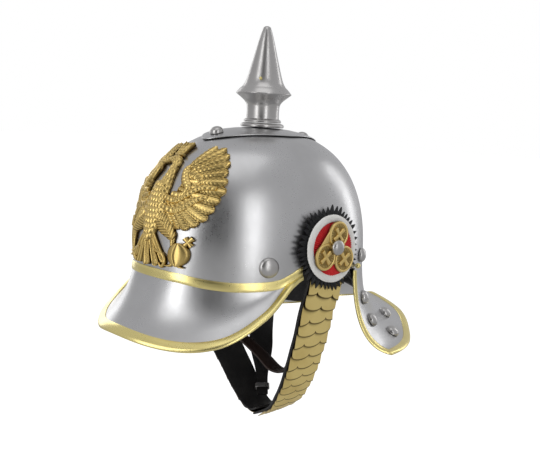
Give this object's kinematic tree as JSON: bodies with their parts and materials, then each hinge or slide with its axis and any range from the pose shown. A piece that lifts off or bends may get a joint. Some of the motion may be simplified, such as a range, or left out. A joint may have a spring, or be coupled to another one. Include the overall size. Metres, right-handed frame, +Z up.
{
  "type": "spiked steel helmet",
  "caption": "Spiked steel pickelhaube with a broad neck guard, brass trims, an eagle plate, side cockades, chin scales and leather straps.",
  "frame": {"origin": "middle of the head opening at brow level, where the wearer's head holds the helmet", "axes": "+Z up through the spike, -Y towards the front, +X towards the wearer's left"},
  "size_m": [0.2376, 0.3502, 0.3841],
  "materials": {
    "steel": "polished sheet steel with fine wear",
    "brass": "polished pale brass",
    "gilt": "gilt brass, darker in the recesses",
    "black_leather": "black waxed leather",
    "brown_leather": "dark brown worn leather",
    "black_cloth": "black pleated ribbon",
    "white_cloth": "off-white braid",
    "red_cloth": "red wool cloth"
  },
  "bodies": {
    "root": {"base_plate": "steel", "base_stud_back": "steel", "base_stud_front": "steel", "boss_knob_left": "steel", "boss_knob_right": "steel", "brow_band": "brass", "brow_rivet_left": "steel", "brow_rivet_right": "steel", "chin_scales_left": "gilt", "chin_scales_right": "gilt", "chin_strap": "brown_leather", "eagle_plate": "gilt", "ear_ball_left": "brass", "ear_ball_right": "brass", "guard_rivet_left_1": "steel", "guard_rivet_left_2": "steel", "guard_rivet_left_3": "steel", "guard_rivet_left_4": "steel", "guard_rivet_left_5": "steel", "guard_rivet_right_1": "steel", "guard_rivet_right_2": "steel", "guard_rivet_right_3": "steel", "guard_rivet_right_4": "steel", "guard_rivet_right_5": "steel", "lining": "brown_leather", "nape_strap": "black_leather", "neck_guard": "steel", "neck_trim": "brass", "red_field_left": "red_cloth", "red_field_right": "red_cloth", "rosette_left": "black_cloth", "rosette_right": "black_cloth", "scale_backing_left": "black_leather", "scale_backing_right": "black_leather", "skull": "steel", "spike": "steel", "spike_ring": "steel", "strap_keeper": "steel", "trefoil_left": "gilt", "trefoil_right": "gilt", "vent_pin": "brass", "visor": "steel", "visor_trim": "brass", "white_ring_left": "white_cloth", "white_ring_right": "white_cloth"}
  },
  "joints": []
}
